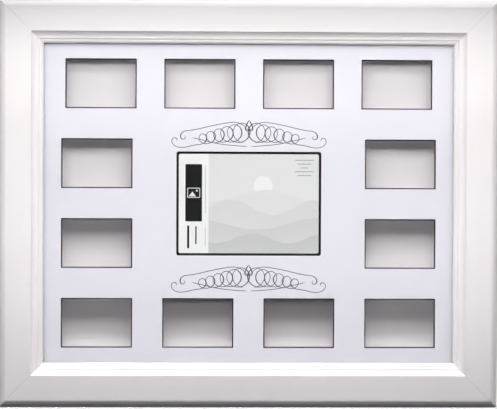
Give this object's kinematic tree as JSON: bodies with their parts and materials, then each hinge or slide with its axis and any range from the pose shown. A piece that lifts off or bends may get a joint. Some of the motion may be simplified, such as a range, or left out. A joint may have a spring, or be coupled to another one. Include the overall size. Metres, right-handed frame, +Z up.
{
  "type": "collage photo frame",
  "caption": "White mitred collage photo frame with a multi-window mat behind glass, loaded from the back and hung by a sawtooth hanger.",
  "frame": {"origin": "bottom centre of the whole frame, halfway between the front face and the wall bumpers", "axes": "+X to the viewer's right along the longest side, +Y from the front face to the wall, +Z up"},
  "size_m": [0.4166, 0.031, 0.3403],
  "materials": {
    "white_moulding": "satin white lacquer over MDF",
    "clear_glass": "clear float glass",
    "mat_board": "smooth white mat board with dark core",
    "printed_card": "matt printed card",
    "paper_tape": "matt paper tape",
    "foam_board": "foam board strip",
    "hardboard": "hardboard with a white paper face",
    "zinc_steel": "bright zinc plate",
    "nickel_steel": "nickel plate",
    "brassed_steel": "brass-plated steel",
    "bumper_felt": "stamped grey wool felt"
  },
  "bodies": {
    "frame": {"rail_top": "white_moulding", "rail_bottom": "white_moulding", "rail_left": "white_moulding", "rail_right": "white_moulding", "glass_pane": "clear_glass", "collage_mat": "mat_board", "display_card": "printed_card", "card_tapes": "paper_tape", "spacer_top": "foam_board", "spacer_bottom": "foam_board", "spacer_left": "foam_board", "spacer_right": "foam_board", "backing_board": "hardboard", "turn_button_screws": "zinc_steel", "hanger_nails": "zinc_steel", "corner_v_nails": "zinc_steel", "sawtooth_hanger": "brassed_steel", "bumper_lower_left": "bumper_felt", "bumper_lower_right": "bumper_felt", "bumper_upper_left": "bumper_felt", "bumper_upper_right": "bumper_felt"},
    "turn_button_bottom_1": {"turn_button_bottom_1": "nickel_steel"},
    "turn_button_bottom_2": {"turn_button_bottom_2": "nickel_steel"},
    "turn_button_left_1": {"turn_button_left_1": "nickel_steel"},
    "turn_button_left_2": {"turn_button_left_2": "nickel_steel"},
    "turn_button_top_1": {"turn_button_top_1": "nickel_steel"},
    "turn_button_top_2": {"turn_button_top_2": "nickel_steel"},
    "turn_button_right_1": {"turn_button_right_1": "nickel_steel"},
    "turn_button_right_2": {"turn_button_right_2": "nickel_steel"}
  },
  "joints": [
    {"name": "turn_button_bottom_1_pivot", "type": "hinge", "parent": "frame", "child": "turn_button_bottom_1", "pos_m": [-0.095, 0.0125, 0.02195], "axis": [0, 1, 0], "range_deg": [-90, 90]},
    {"name": "turn_button_bottom_2_pivot", "type": "hinge", "parent": "frame", "child": "turn_button_bottom_2", "pos_m": [0.095, 0.0125, 0.02195], "axis": [0, 1, 0], "range_deg": [-90, 90]},
    {"name": "turn_button_left_1_pivot", "type": "hinge", "parent": "frame", "child": "turn_button_left_1", "pos_m": [-0.1863, 0.0125, 0.24015], "axis": [0, 1, 0], "range_deg": [-90, 90]},
    {"name": "turn_button_left_2_pivot", "type": "hinge", "parent": "frame", "child": "turn_button_left_2", "pos_m": [-0.1863, 0.0125, 0.10015], "axis": [0, 1, 0], "range_deg": [-90, 90]},
    {"name": "turn_button_top_1_pivot", "type": "hinge", "parent": "frame", "child": "turn_button_top_1", "pos_m": [0.095, 0.0125, 0.31835], "axis": [0, 1, 0], "range_deg": [-90, 90]},
    {"name": "turn_button_top_2_pivot", "type": "hinge", "parent": "frame", "child": "turn_button_top_2", "pos_m": [-0.095, 0.0125, 0.31835], "axis": [0, 1, 0], "range_deg": [-90, 90]},
    {"name": "turn_button_right_1_pivot", "type": "hinge", "parent": "frame", "child": "turn_button_right_1", "pos_m": [0.1863, 0.0125, 0.10015], "axis": [0, 1, 0], "range_deg": [-90, 90]},
    {"name": "turn_button_right_2_pivot", "type": "hinge", "parent": "frame", "child": "turn_button_right_2", "pos_m": [0.1863, 0.0125, 0.24015], "axis": [0, 1, 0], "range_deg": [-90, 90]}
  ]
}
